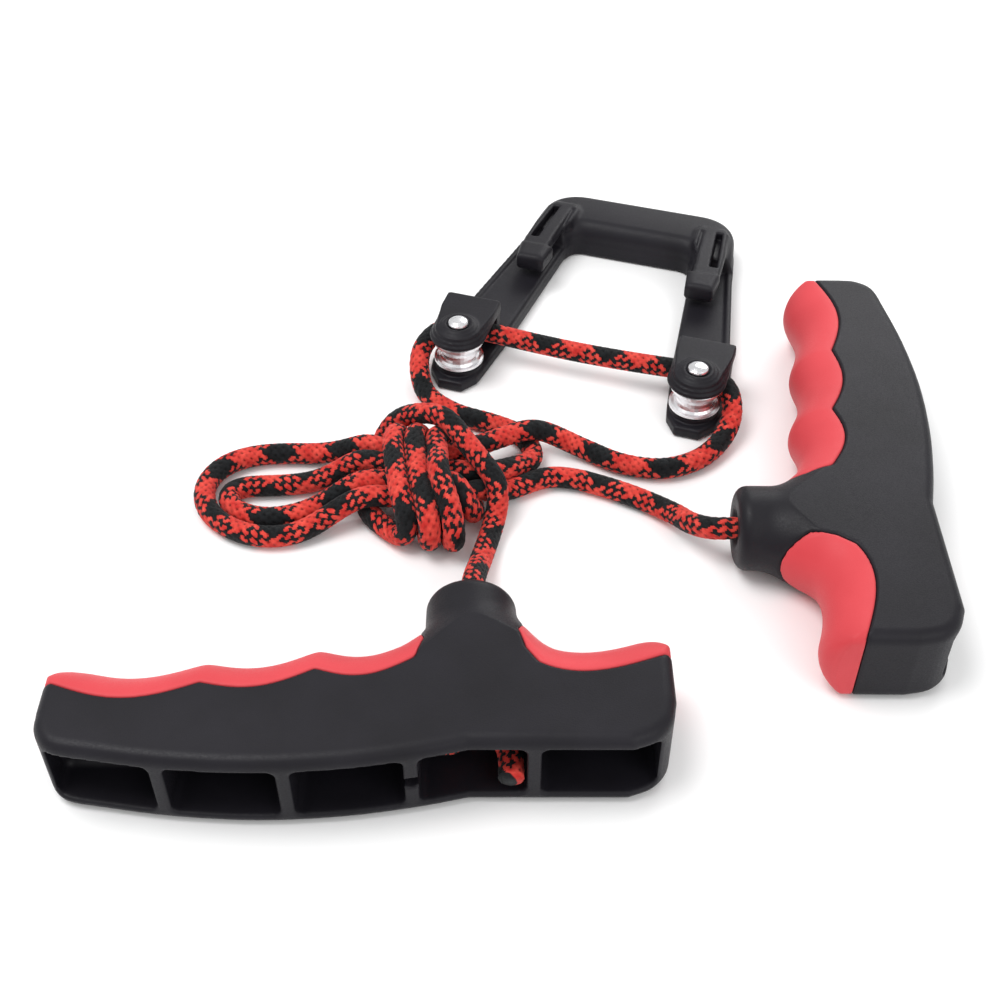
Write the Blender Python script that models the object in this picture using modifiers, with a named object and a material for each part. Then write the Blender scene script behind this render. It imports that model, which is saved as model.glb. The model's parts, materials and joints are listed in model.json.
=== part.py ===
"""Two-handle rope pulley: a moulded U-shaped yoke with two string hooks and two rope rollers,
one braided rope that runs round both rollers, and a T-handle on each end of the rope.

The yoke's plan is symmetric about x = 0, with the roller axles on y = 0 and the bridge at +y.
A handle's own frame has the neck along +Y, the grip along X and the palm side at y = 0.
"""

import math

import bmesh
import bpy
from mathutils import Matrix, Vector

MM = 0.001
GAP = 0.3 * MM  # between faces that touch on the real object

# Where everything stands: the axles' midpoint, so that the assembly is centred on the origin.
YOKE_PLACE = Vector((-16.966, 40.981, 0)) * MM

# Yoke
AXLE_X = 36.0 * MM  # axle's distance from the middle
EAR_RADIUS = 8.5 * MM
EAR_BACK = 15.5 * MM
WEB_TOP = 3.5 * MM
OUTER_RIM_TOP = 7.0 * MM
INNER_RIM_TOP = 5.0 * MM
LOWER_EAR_TOP = 5.0 * MM
UPPER_EAR_BOTTOM = 14.0 * MM
UPPER_EAR_TOP = 17.6 * MM
BOSS_TOP = 18.6 * MM
BRIDGE_TOP = 12.0 * MM
BRIDGE_INNER_Y = 71.0 * MM
BRIDGE_OUTER_Y = 91.0 * MM
HOOK_FRONT_Y = 45.0 * MM
HOOK_BACK_Y = 84.0 * MM
HOOK_BOTTOM = 10.2 * MM
HOOK_TOP = 14.0 * MM
SPINE_FRONT = 13.0 * MM

# Roller, rivet and sleeve
RIVET_RADIUS = 1.6 * MM
SLEEVE_RADIUS = 2.5 * MM
ROLLER_RADIUS = 7.4 * MM
GROOVE_RADIUS = 5.6 * MM
AXLE_HOLE = RIVET_RADIUS + GAP
COUNTERBORE_DEPTH = 2.4 * MM
COUNTERBORE_RADIUS = 4.2 * MM
RIVET_HEAD_RADIUS = 3.0 * MM

# Handle
THICK = 23.0 * MM
LEFT_END = -95.6 * MM
RIGHT_END = 46.4 * MM
NECK_RADIUS = 11.0 * MM
NECK_END = 49.5 * MM
BORE_RADIUS = 3.6 * MM
WALL = 3.4 * MM  # over and under the palm pockets
KNOT_WALL_Y = 19.0 * MM  # far wall of the pocket that holds the knot
GRIP_DEPTH = 11.0 * MM
GRIP_SKIN = 2.8 * MM

# Rope
ROPE_RADIUS = 3.0 * MM

# Each finger hollow: start and end (x, y), depth, and how far its lowest point leans to the start.
HOLLOWS = (
    ((-93.5, 16.3), (-60.3, 16.7), 4.2, 1.0),
    ((-60.3, 16.7), (-34.8, 20.6), 3.1, 1.0),
    ((-34.8, 20.6), (-13.0, 23.6), 3.3, 1.0),
    ((13.0, 25.2), (45.4, 25.0), 5.2, 0.75),
)
PALM = ((-95.6, 9.0), (-94.9, 4.0), (-91.0, -0.7), (-82.0, -2.6), (-66.0, -4.9), (-47.0, -6.0),
        (-28.0, -5.0), (-12.0, -2.6), (0.0, 0.0))
THUMB_CORNER = ((36.0, 0.0), (41.5, 2.3), (45.0, 6.4), (46.4, 12.5))
RIBS = (-67.4, -39.9, -12.5, 14.6)  # the walls between the palm pockets
RIB_THICK = 3.2
SEAM_STEPS = 9  # points along one hollow
POCKET_FLOORS = (8.6, 10.2, 12.6, 19.0, 14.6)  # far wall of each palm pocket

# The handles' places in the yoke's frame: neck axis at the palm side, heading and which face is up
HANDLES = (
    ("a", (15.1, -145.3), 17.4, False),
    ("b", (104.5, -38.3), 106.8, True),
)

# Rope routes in the yoke's frame, in millimetres. Both handle strands start inside a neck.
STRAND_A = ((5.1, -113.0, 11.5), (0.3, -98.0, 11.5), (-1.6, -91.5, 10.8), (-3.0, -85.0, 8.0),
            (-4.2, -77.5, 4.6), (-4.9, -70.0, 3.3), (-5.3, -64.5, 3.1), (-5.5, -59.4, 3.1))
STRAND_B = ((73.0, -47.9, 11.5), (57.1, -52.7, 11.5), (51.0, -53.2, 10.3), (45.5, -50.0, 7.4),
            (40.5, -45.0, 4.4), (33.0, -41.5, 3.1), (24.0, -39.5, 3.0), (14.0, -38.4, 3.0),
            (4.0, -37.9, 3.0))
ROLLER_RUN = ((-1.0, -28.0, 3.1), (-9.0, -24.0, 3.1), (-19.0, -23.0, 3.1), (-30.0, -21.8, 3.1),
              (-39.5, -17.6, 3.6), (-44.6, -11.0, 5.6), (-46.6, -3.5, 8.4), (-44.9, 4.0, 9.7),
              (-40.2, 8.2, 9.8), (-35.0, 9.4, 9.8), (-28.0, 9.2, 9.7), (-14.0, 8.9, 9.3), (0.0, 8.8, 9.1),
              (14.0, 8.9, 9.3), (28.0, 9.2, 9.7), (35.0, 9.4, 9.8), (40.6, 8.0, 9.7),
              (45.4, 3.6, 9.0), (47.6, -3.5, 6.2), (46.2, -11.5, 3.7), (41.5, -20.5, 3.1),
              (33.0, -27.0, 3.1), (22.0, -28.5, 3.1), (11.0, -26.0, 3.2), (4.6, -24.4, 5.0))


def material(name, colour, roughness, metallic=0.0):
    made = bpy.data.materials.new(name)
    made.use_nodes = True
    shader = made.node_tree.nodes["Principled BSDF"]
    shader.inputs["Base Color"].default_value = (*colour, 1.0)
    shader.inputs["Roughness"].default_value = roughness
    shader.inputs["Metallic"].default_value = metallic
    made.diffuse_color = (*colour, 1.0)
    return made


def collection(name):
    made = bpy.data.collections.new(name)
    bpy.context.scene.collection.children.link(made)
    return made


def scratch(name, mesh):
    """A working object, which evaluated_mesh() or combined() removes again."""
    made = bpy.data.objects.new(name, mesh)
    bpy.context.scene.collection.objects.link(made)
    return made


def evaluated_mesh(obj):
    """The object's mesh with its modifiers and its place applied. The object is removed."""
    graph = bpy.context.evaluated_depsgraph_get()
    made = bpy.data.meshes.new_from_object(obj.evaluated_get(graph))
    made.transform(obj.matrix_world)
    bpy.data.objects.remove(obj)
    return made


def plate(outline, bottom, top, bevel=0.0, segments=2, only_top=False):
    """A flat outline extruded between two heights, with the edges round its faces rounded."""
    curve = bpy.data.curves.new("outline", "CURVE")
    curve.dimensions = "2D"
    curve.fill_mode = "BOTH"
    curve.extrude = (top - bottom) / 2
    spline = curve.splines.new("POLY")
    spline.points.add(len(outline) - 1)
    for point, (x, y) in zip(spline.points, outline):
        point.co = (x, y, 0, 1)
    spline.use_cyclic_u = True
    obj = scratch("plate", curve)
    obj.location.z = (top + bottom) / 2
    bpy.context.view_layer.update()
    mesh = evaluated_mesh(obj)
    work = bmesh.new()
    work.from_mesh(mesh)
    bmesh.ops.remove_doubles(work, verts=work.verts, dist=1e-6)
    bmesh.ops.dissolve_limit(work, angle_limit=math.radians(0.5), verts=work.verts, edges=work.edges)
    bmesh.ops.recalc_face_normals(work, faces=work.faces)
    if bevel:
        rims = [edge for edge in work.edges if edge.is_manifold and edge.calc_face_angle() > 1.0
                and abs(edge.verts[0].co.z - edge.verts[1].co.z) < 1e-7
                and not (only_top and edge.verts[0].co.z < top - 1e-6)]
        bmesh.ops.bevel(work, geom=rims, offset=bevel, offset_type="OFFSET", segments=segments,
                        profile=0.5, affect="EDGES", clamp_overlap=True)
    work.to_mesh(mesh)
    work.free()
    return mesh


def turned(profile, steps=32):
    """A profile of (radius, height) points, from the top down its outer side, turned round Z."""
    mesh = bpy.data.meshes.new("turned")
    edges = [(i, i + 1) for i in range(len(profile) - 1)]
    if profile[0][0] > 1e-9:
        edges.append((len(profile) - 1, 0))
    mesh.from_pydata([(r, 0, z) for r, z in profile], edges, [])
    obj = scratch("turned", mesh)
    screw = obj.modifiers.new("Screw", "SCREW")
    screw.steps = screw.render_steps = steps
    screw.use_merge_vertices = True
    screw.merge_threshold = 1e-6
    bpy.context.view_layer.update()
    return evaluated_mesh(obj)


def rod(radius, bottom, top, steps=32):
    return turned([(0, top), (radius, top), (radius, bottom), (0, bottom)], steps)


def along_y(mesh):
    """Lays a shape that was made along +Z down along +Y."""
    mesh.transform(Matrix.Rotation(math.radians(-90), 4, "X"))
    return mesh


def loft(sections):
    """A closed skin over rings of points of the same count."""
    work = bmesh.new()
    rings = [[work.verts.new(point) for point in section] for section in sections]
    count = len(rings[0])
    for ring, following in zip(rings, rings[1:]):
        for i in range(count):
            work.faces.new((ring[i], ring[(i + 1) % count], following[(i + 1) % count], following[i]))
    work.faces.new(rings[0])
    work.faces.new(rings[-1])
    bmesh.ops.recalc_face_normals(work, faces=work.faces)
    mesh = bpy.data.meshes.new("loft")
    work.to_mesh(mesh)
    work.free()
    return mesh


def moved(mesh, x=0.0, y=0.0, z=0.0):
    mesh.transform(Matrix.Translation((x, y, z)))
    return mesh


def mirrored(mesh):
    """A copy on the other side of x = 0."""
    made = mesh.copy()
    made.transform(Matrix.Scale(-1, 4, (1, 0, 0)))
    made.flip_normals()
    return made


def combined(body, joined=(), cut=()):
    """The body with other meshes joined to it and cut from it."""
    obj = scratch("body", body)
    tools = []
    for operation, meshes in (("UNION", joined), ("DIFFERENCE", cut)):
        for mesh in meshes:
            tool = scratch("tool", mesh)
            boolean = obj.modifiers.new("Boolean", "BOOLEAN")
            boolean.operation = operation
            boolean.solver = "MANIFOLD"  # every mesh here is closed, and many of their faces lie in one plane
            boolean.object = tool
            tools.append(tool)
    bpy.context.view_layer.update()
    made = evaluated_mesh(obj)
    for tool in tools:
        bpy.data.objects.remove(tool)
    return made


def smooth_path(points, steps):
    """Points along a smooth curve through the given points, which keeps its first and last."""
    ends = [2 * Vector(points[0]) - Vector(points[1])], [2 * Vector(points[-1]) - Vector(points[-2])]
    knots = ends[0] + [Vector(p) for p in points] + ends[1]
    path = []
    for p0, p1, p2, p3 in zip(knots, knots[1:], knots[2:], knots[3:]):
        for step in range(steps):
            t = step / steps
            path.append(0.5 * (2 * p1 + (p2 - p0) * t + (2 * p0 - 5 * p1 + 4 * p2 - p3) * t * t
                               + (3 * p1 - p0 - 3 * p2 + p3) * t ** 3))
    return path + [knots[-2]]


def arc(centre, radius, start, end, steps):
    """Points on an arc, its angles in degrees."""
    angles = [math.radians(start + (end - start) * i / steps) for i in range(steps + 1)]
    return [(centre[0] + radius * math.cos(a), centre[1] + radius * math.sin(a)) for a in angles]


def scaled(points):
    return [(x * MM, y * MM) for x, y in points]


def both_sides(half):
    """A closed outline from its +x half, which starts and ends on or near x = 0."""
    return list(half) + [(-x, y) for x, y in reversed(half)]


# ---------------------------------------------------------------- yoke

PROUD = 0.3  # what stands on the yoke's base overhangs its edge by this, in millimetres


def leg_outer(y):
    return 45.9 - 0.17 * y


def leg_inner(y):
    return 27.6 - 0.095 * y


def yoke_outline():
    """Half of the yoke's plan: bridge, splayed leg and lower ear with a cut-off nose."""
    axle, ear = AXLE_X / MM, EAR_RADIUS / MM
    inner, outer = BRIDGE_INNER_Y / MM, BRIDGE_OUTER_Y / MM
    corner = leg_outer(outer - 13) - 13
    nose = ((axle + ear, 0), (axle + 7.6, -4.4), (axle + 3.6, -9.4), (axle - 3.6, -9.4),
            (axle - 7.0, -4.4), (axle - 7.8, 0))
    return scaled([*arc((corner, outer - 13), 13, 90, 8, 8), (leg_outer(60), 60), (leg_outer(15), 15),
                   *nose, (leg_inner(15), 15), (leg_inner(30), 30), (leg_inner(inner - 6), inner - 6),
                   *arc((leg_inner(inner) - 5, inner - 5), 5, 20, 90, 4)])


def strip(line, y0, y1, inward, width):
    """A strip along one edge of the leg."""
    first, last = line(y0) - inward * PROUD, line(y1) - inward * PROUD
    return scaled([(first, y0), (last, y1), (last + inward * width, y1), (first + inward * width, y0)])


def leg_shapes():
    """What stands on one leg's web, from the ear to the hook."""
    bridge = BRIDGE_INNER_Y / MM + 3
    outer_rim = plate(strip(leg_outer, 14, bridge, -1, 2.8), 1 * MM, OUTER_RIM_TOP)
    inner_rim = plate(strip(leg_inner, 14, bridge, 1, 1.8), 1 * MM, INNER_RIM_TOP)
    front, back = HOOK_FRONT_Y / MM, HOOK_BACK_Y / MM
    finger = scaled([(23.8, front + 1.5), (24.8, front), (32.6, front), (33.6, front + 1.5),
                     (31.4, 64), (30.6, back), (20.6, back), (20.8, 66)])
    hook = plate(finger, HOOK_BOTTOM, HOOK_TOP, bevel=0.9 * MM)
    axle, ear = AXLE_X / MM, EAR_RADIUS / MM
    back_edge = EAR_BACK / MM
    plan = scaled([(axle + ear, back_edge - 1), (axle + ear - 1, back_edge), (axle - ear + 1, back_edge),
                   (axle - ear, back_edge - 1), *arc((axle, 0), ear, 180, 360, 14)])
    upper_ear = plate(plan, UPPER_EAR_BOTTOM, UPPER_EAR_TOP, bevel=0.7 * MM)
    spine = plate(scaled([(axle - ear + 0.6, SPINE_FRONT / MM), (axle + ear - 0.6, SPINE_FRONT / MM),
                          (axle + ear - 0.9, back_edge + 1.5), (axle - ear + 0.3, back_edge + 1.5)]),
                  1.5 * MM, UPPER_EAR_BOTTOM + 1.7 * MM)
    pad = turned([(0, LOWER_EAR_TOP), (6.7 * MM, LOWER_EAR_TOP), (7.0 * MM, 2 * MM), (0, 2 * MM)])
    step = turned([(0, UPPER_EAR_TOP + 0.5 * MM), (6.9 * MM, UPPER_EAR_TOP + 0.5 * MM),
                   (7.3 * MM, 15 * MM), (0, 15 * MM)])
    boss = turned([(0, BOSS_TOP), (5.2 * MM, BOSS_TOP), (5.6 * MM, 16 * MM), (0, 16 * MM)])
    return [outer_rim, inner_rim, hook, upper_ear, spine, moved(pad, AXLE_X), moved(step, AXLE_X),
            moved(boss, AXLE_X)]


def leg_cuts():
    """The axle hole, the counterbores over and under it, and the grooves behind the hook."""
    hole = rod(AXLE_HOLE, -1 * MM, 30 * MM, 20)
    below = rod(COUNTERBORE_RADIUS, -1 * MM, COUNTERBORE_DEPTH, 24)
    above = rod(RIVET_HEAD_RADIUS + 0.5 * MM, BOSS_TOP - 0.6 * MM, BOSS_TOP + 2 * MM, 24)
    grooves = [plate(scaled([(x, 61), (x + 1.6, 61), (x + 0.6, 80), (x - 0.6, 80)]),
                     HOOK_TOP - 2.4 * MM, HOOK_TOP + 2 * MM) for x in (24.6, 28.2)]
    return [moved(hole, AXLE_X), moved(below, AXLE_X), moved(above, AXLE_X), *grooves]


def yoke_mesh():
    base = plate(both_sides(yoke_outline()), 0, WEB_TOP, bevel=0.6 * MM)
    inner, outer = BRIDGE_INNER_Y / MM, BRIDGE_OUTER_Y / MM
    corner = leg_outer(outer - 13) - 13
    bar = scaled([*arc((corner, outer - 13), 13 + PROUD, 90, 8, 8), (leg_outer(66) + PROUD, 66),
                  (leg_inner(66) - PROUD, 66), *arc((leg_inner(inner) - 5, inner - 5), 5 - PROUD, 20, 90, 4)])
    bridge = plate(both_sides(bar), 1 * MM, BRIDGE_TOP, bevel=4.2 * MM, segments=4, only_top=True)
    joined = leg_shapes()
    cut = leg_cuts()
    return combined(base, [bridge, *joined, *map(mirrored, joined)], [*cut, *map(mirrored, cut)])


def roller_mesh():
    bottom, top = LOWER_EAR_TOP + 2 * GAP, UPPER_EAR_BOTTOM - 2 * GAP
    middle, flange = (bottom + top) / 2, 1.1 * MM
    groove = arc((0, 0), 1.0, 90, 270, 8)
    half = (top - bottom) / 2 - flange
    waist = [(ROLLER_RADIUS + (ROLLER_RADIUS - GROOVE_RADIUS) * x, middle + half * y) for x, y in groove]
    bore = SLEEVE_RADIUS + GAP
    return turned([(bore, top), (ROLLER_RADIUS - 0.3 * MM, top), (ROLLER_RADIUS, top - 0.3 * MM), *waist,
                   (ROLLER_RADIUS, bottom + 0.3 * MM), (ROLLER_RADIUS - 0.3 * MM, bottom), (bore, bottom)])


def sleeve_mesh():
    bottom, top = LOWER_EAR_TOP + GAP, UPPER_EAR_BOTTOM - GAP
    return turned([(AXLE_HOLE, top), (SLEEVE_RADIUS, top), (SLEEVE_RADIUS, bottom), (AXLE_HOLE, bottom)], 20)


def rivet_mesh():
    seat = BOSS_TOP - 0.6 * MM + GAP
    dome = arc((0, 0), 1.0, 90, 0, 5)
    head = [(RIVET_HEAD_RADIUS * x, seat + 0.4 * MM + 1.2 * MM * y) for x, y in dome]
    tail = COUNTERBORE_DEPTH - 1.2 * MM
    return turned([*head, (RIVET_HEAD_RADIUS, seat), (RIVET_RADIUS, seat), (RIVET_RADIUS, tail),
                   (2.7 * MM, tail), (2.4 * MM, tail - 0.7 * MM), (0, tail - 0.7 * MM)], 24)


def rivet_washer_mesh():
    top = COUNTERBORE_DEPTH - GAP
    bottom = top - 0.6 * MM
    return turned([(AXLE_HOLE, top), (3.7 * MM, top), (3.7 * MM, bottom), (AXLE_HOLE, bottom)], 24)


# ---------------------------------------------------------------- handle

def seam(x, hollow):
    """The line where black core meets red grip, at one place along a finger hollow."""
    (x0, y0), (x1, y1), depth, lean = hollow
    t = min(max((x - x0) / (x1 - x0), 0.0), 1.0)
    return y0 + (y1 - y0) * t - depth * math.sin(math.pi * t ** lean)


def seam_points(hollow):
    x0, x1 = hollow[0][0], hollow[1][0]
    places = [x0 + (x1 - x0) * i / SEAM_STEPS for i in range(SEAM_STEPS + 1)]
    return [(x, seam(x, hollow)) for x in places]


def core_outline():
    palm = [tuple(p) for p in smooth_path(PALM, 3)]
    corner = [tuple(p) for p in smooth_path(THUMB_CORNER, 3)]
    neck = NECK_RADIUS / MM - 0.6
    one, three = HOLLOWS[3], HOLLOWS[2::-1]
    line = [(46.4, 22.0), *reversed(seam_points(one)), (neck, 31.0), (-neck, 31.0)]
    for hollow in three:
        line += list(reversed(seam_points(hollow)))[:-1]
    return scaled([*palm, *corner, *line, (-94.8, 14.6)])


def grip_stretches():
    """The two finger zones as lists of (x, seam y)."""
    three = [p for hollow in HOLLOWS[:3] for p in seam_points(hollow)[1:]]
    return {"three_finger": [(-94.0, 16.2), *three], "one_finger": seam_points(HOLLOWS[3])}


def inset(stretch, distance):
    """The same stretch, begun and ended this much further in, along its own chords."""
    points = list(stretch)
    for end, beside, step in ((0, 1, distance), (-1, -2, -distance)):
        (x0, y0), (x1, y1) = stretch[end], stretch[beside]
        points[end] = (x0 + step, y0 + (y1 - y0) * step / (x1 - x0))
    return points


def half_round(stretch, start, depth, height):
    """A half-round nose along a seam. Its depth eases off over the last millimetres at the outer end."""
    outer_end = stretch[0][0] if stretch[0][0] < -50 else stretch[-1][0]
    sections = []
    for x, y in stretch:
        reach = min(abs(x - outer_end) / 7.0, 1.0)
        ease = math.sqrt(1 - (1 - reach) ** 2) * 0.55 + 0.45
        ring = []
        for i in range(13):
            angle = math.pi * i / 12
            ring.append((x * MM, y * MM + start + (depth - start) * ease * math.sin(angle),
                         height * math.cos(angle) * (0.75 + 0.25 * ease)))
        sections.append(ring)
    return loft(sections)


def grip_mesh(stretch):
    outer = half_round(stretch, GAP, GRIP_DEPTH, THICK / 2)
    hollow = half_round(inset(stretch, 1.0), -1.5 * MM, GRIP_DEPTH - GRIP_SKIN + GAP,
                        THICK / 2 - GRIP_SKIN + GAP)
    return combined(outer, cut=[hollow])


def tongue_mesh(stretch):
    """The core's half-round under a grip."""
    return half_round(inset(stretch, 1.4), -1.5 * MM, GRIP_DEPTH - GRIP_SKIN, THICK / 2 - GRIP_SKIN)


def pocket_mesh(left, right, floor):
    """One palm pocket: a box with rounded corners, open past the palm side."""
    height = THICK / 2 - WALL
    half = (right - left) / 2
    outline = scaled([(-half, -20), (half, -20), (half, floor - 1.5), (half - 1.5, floor), (-half + 1.5, floor),
                      (-half, floor - 1.5)])
    return moved(plate(outline, -height, height), (left + right) / 2 * MM)


def core_mesh():
    """The black moulding: grip bar, tongues, neck, palm pockets and rope bore."""
    half = THICK / 2
    slab = plate(core_outline(), -half, half, bevel=1.5 * MM, segments=3)
    neck = along_y(turned([(0, NECK_END), (NECK_RADIUS - 3.4 * MM, NECK_END),
                           (NECK_RADIUS - 1.2 * MM, NECK_END - 0.8 * MM), (NECK_RADIUS, NECK_END - 3.2 * MM),
                           (NECK_RADIUS, 24 * MM), (0, 24 * MM)], 36))
    tongues = [tongue_mesh(stretch) for stretch in grip_stretches().values()]
    edges = [-92.4, *[edge for rib in RIBS for edge in (rib - RIB_THICK / 2, rib + RIB_THICK / 2)], 42.4]
    pockets = [pocket_mesh(left, right, floor)
               for left, right, floor in zip(edges[::2], edges[1::2], POCKET_FLOORS)]
    bore = along_y(rod(BORE_RADIUS, 15 * MM, 60 * MM, 24))
    mouth = along_y(turned([(0, NECK_END + 1 * MM), (BORE_RADIUS + 2.2 * MM, NECK_END + 1 * MM),
                            (BORE_RADIUS - 0.2 * MM, NECK_END - 1.6 * MM), (0, NECK_END - 1.6 * MM)], 24))
    notch = moved(along_y(rod(1.7 * MM, -10 * MM, 2.4 * MM, 12)), RIBS[2] * MM)
    return combined(slab, [neck, *tongues], [*pockets, bore, mouth, notch])


def knot_washer_mesh():
    """A flat ring between the knot and the far wall of its pocket, round the bore."""
    top = KNOT_WALL_Y - GAP
    bottom = top - 1.2 * MM
    ring = [(BORE_RADIUS, top), (6.6 * MM, top), (6.6 * MM, bottom), (BORE_RADIUS, bottom)]
    return along_y(turned(ring, 28))


def knot_mesh():
    """The stopper knot against the washer, with the rope's cut tail beside it in the pocket."""
    top = KNOT_WALL_Y - 1.2 * MM - 2 * GAP
    ball = along_y(turned([(0, top), (4.6 * MM, top), (6.6 * MM, top - 2.4 * MM), (7.2 * MM, top - 5.5 * MM),
                           (6.4 * MM, top - 9 * MM), (3.8 * MM, top - 11.4 * MM), (0, top - 12.2 * MM)], 20))
    tail = along_y(rod(ROPE_RADIUS, 1.0 * MM, top - 3 * MM, 12))
    return combined(ball, joined=[moved(tail, 8.6 * MM, 0, -3.0 * MM)])


def handle_matrix(place, heading, flipped):
    matrix = Matrix.Translation((*Vector(place) * MM, THICK / 2)) @ Matrix.Rotation(math.radians(heading), 4, "Z")
    return matrix @ Matrix.Rotation(math.pi, 4, "Y") if flipped else matrix


# ---------------------------------------------------------------- rope

def rope_tube(name, route, steps):
    """A round rope along a smooth curve through the route's points."""
    curve = bpy.data.curves.new(name, "CURVE")
    curve.dimensions = "3D"
    curve.bevel_depth = ROPE_RADIUS
    curve.bevel_resolution = 2
    curve.use_fill_caps = True
    path = smooth_path(route, steps)
    spline = curve.splines.new("POLY")
    spline.points.add(len(path) - 1)
    for point, place in zip(spline.points, path):
        point.co = (*(place * MM), 1)
    return bpy.data.objects.new(name, curve)


def hank_mesh():
    """The outer shape of the loosely wrapped hank: two loops on one side, the wrapped middle,
    and the folds on the side where the strands leave."""
    loops = plate(scaled([(-44, -46), (-56, -44.2), (-70, -47), (-82, -52.5), (-89.5, -62), (-91, -72),
                          (-86, -81.5), (-75, -88.5), (-62, -91.5), (-51, -88.5), (-42, -78), (-36, -66)]),
                  0.1 * MM, 9.0 * MM, bevel=2.4 * MM)
    middle = plate(scaled([(-47, -43), (-41, -35.5), (-30, -32.5), (-18, -33), (-11, -40), (-8.6, -52),
                           (-9.6, -66), (-14, -74.5), (-24, -74.8), (-34, -70.5), (-42, -62)]),
                   0.1 * MM, 19.0 * MM, bevel=5.0 * MM, segments=3)
    folds = plate(scaled([(-18, -32.5), (-8, -29.5), (0.0, -31), (2.4, -35), (2.4, -43), (-0.6, -50),
                          (-4.6, -55), (-12, -60)]),
                  0.1 * MM, 13.0 * MM, bevel=3.4 * MM)
    return combined(middle, joined=[loops, folds])


# ---------------------------------------------------------------- assembly

def put(name, mesh, matrix, finish, parent, group):
    mesh.shade_smooth()
    mesh.set_sharp_from_angle(angle=math.radians(35))
    if not mesh.materials:
        mesh.materials.append(finish)
    obj = bpy.data.objects.new(name, mesh)
    obj.parent = parent
    obj.matrix_local = matrix
    group.objects.link(obj)
    return obj


def empty(name, matrix, parent, group):
    obj = bpy.data.objects.new(name, None)
    obj.parent = parent
    obj.matrix_local = matrix
    group.objects.link(obj)
    return obj


def build_yoke(root, group, finishes):
    put("yoke_frame", yoke_mesh(), Matrix(), finishes["plastic"], root, group)
    small = {"roller": (roller_mesh(), "aluminium"), "roller_sleeve": (sleeve_mesh(), "steel"),
             "axle_rivet": (rivet_mesh(), "steel"), "rivet_washer": (rivet_washer_mesh(), "steel")}
    for side, x in (("left", -AXLE_X), ("right", AXLE_X)):
        axle = empty(f"axle_{side}", Matrix.Translation((x, 0, 0)), root, group)
        for name, (mesh, finish) in small.items():
            put(f"{name}_{side}", mesh, Matrix(), finishes[finish], axle, group)


def build_handles(root, group, finishes):
    core, washer, knot = core_mesh(), knot_washer_mesh(), knot_mesh()
    grips = {zone: grip_mesh(stretch) for zone, stretch in grip_stretches().items()}
    for letter, place, heading, flipped in HANDLES:
        neck = empty(f"handle_{letter}", handle_matrix(place, heading, flipped), root, group)
        put(f"handle_{letter}_core", core, Matrix(), finishes["plastic"], neck, group)
        put(f"knot_washer_{letter}", washer, Matrix(), finishes["steel"], neck, group)
        put(f"rope_knot_{letter}", knot, Matrix(), finishes["rope"], neck, group)
        for zone, mesh in grips.items():
            put(f"handle_{letter}_{zone}_grip", mesh, Matrix(), finishes["rubber"], neck, group)


def build_rope(root, group, finishes):
    for name, route, steps in (("rope_strand_a", STRAND_A, 1), ("rope_strand_b", STRAND_B, 1),
                               ("rope_roller_run", ROLLER_RUN, 2)):
        obj = rope_tube(name, route, steps)
        obj.data.materials.append(finishes["rope"])
        obj.parent = root
        group.objects.link(obj)
    put("rope_hank", hank_mesh(), Matrix(), finishes["rope"], root, group)


def main():
    for obj in list(bpy.data.objects):
        bpy.data.objects.remove(obj)
    group = collection("rope_pulley")
    finishes = {
        "plastic": material("charcoal_plastic", (0.032, 0.030, 0.036), 0.45),
        "rubber": material("coral_rubber", (0.80, 0.080, 0.090), 0.55),
        "aluminium": material("turned_aluminium", (0.88, 0.88, 0.90), 0.25, 1.0),
        "steel": material("bright_steel", (0.80, 0.80, 0.82), 0.25, 1.0),
        "rope": material("braided_rope", (0.45, 0.03, 0.03), 0.8),
    }
    root = empty("yoke", Matrix.Translation(YOKE_PLACE), None, group)
    build_yoke(root, group, finishes)
    build_handles(root, group, finishes)
    build_rope(root, group, finishes)
    bpy.context.view_layer.update()


main()
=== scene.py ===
"""Looks of the rope pulley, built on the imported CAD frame: the camera and stage, one braided rope that
goes from handle to handle, two handles with soft grips, the moulded yoke, and its rollers and rivets.

Lengths in the tables and functions are millimetres in the frame of the piece: the yoke's frame has its
axles on y = 0, and a handle's own frame has the neck along +Y and the grip along X. MM makes metres.
The lamps, the floor, the camera's near limit and the depths of the bumps are in metres.
"""

import json
import math

import bpy
import numpy as np
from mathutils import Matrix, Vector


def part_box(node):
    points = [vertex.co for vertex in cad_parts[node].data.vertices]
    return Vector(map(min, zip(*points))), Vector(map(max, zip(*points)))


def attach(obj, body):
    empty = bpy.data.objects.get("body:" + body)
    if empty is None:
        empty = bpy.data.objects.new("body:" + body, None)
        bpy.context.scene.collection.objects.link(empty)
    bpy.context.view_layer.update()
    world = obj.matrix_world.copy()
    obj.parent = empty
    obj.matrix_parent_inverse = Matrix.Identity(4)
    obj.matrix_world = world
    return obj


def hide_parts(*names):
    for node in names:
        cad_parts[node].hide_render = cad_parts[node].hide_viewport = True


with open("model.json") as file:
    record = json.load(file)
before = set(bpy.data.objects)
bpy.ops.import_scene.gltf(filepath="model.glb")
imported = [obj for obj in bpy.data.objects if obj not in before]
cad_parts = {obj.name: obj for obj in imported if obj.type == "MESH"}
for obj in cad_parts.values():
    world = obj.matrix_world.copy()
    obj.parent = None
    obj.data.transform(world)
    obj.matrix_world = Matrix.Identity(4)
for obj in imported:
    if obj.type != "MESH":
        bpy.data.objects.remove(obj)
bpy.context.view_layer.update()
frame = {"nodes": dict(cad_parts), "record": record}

import openvdb
from mathutils import Matrix, Vector

MM = 0.001


def centre(node):
    low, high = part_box(node)
    return (Vector(low) + Vector(high)) / 2


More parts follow.
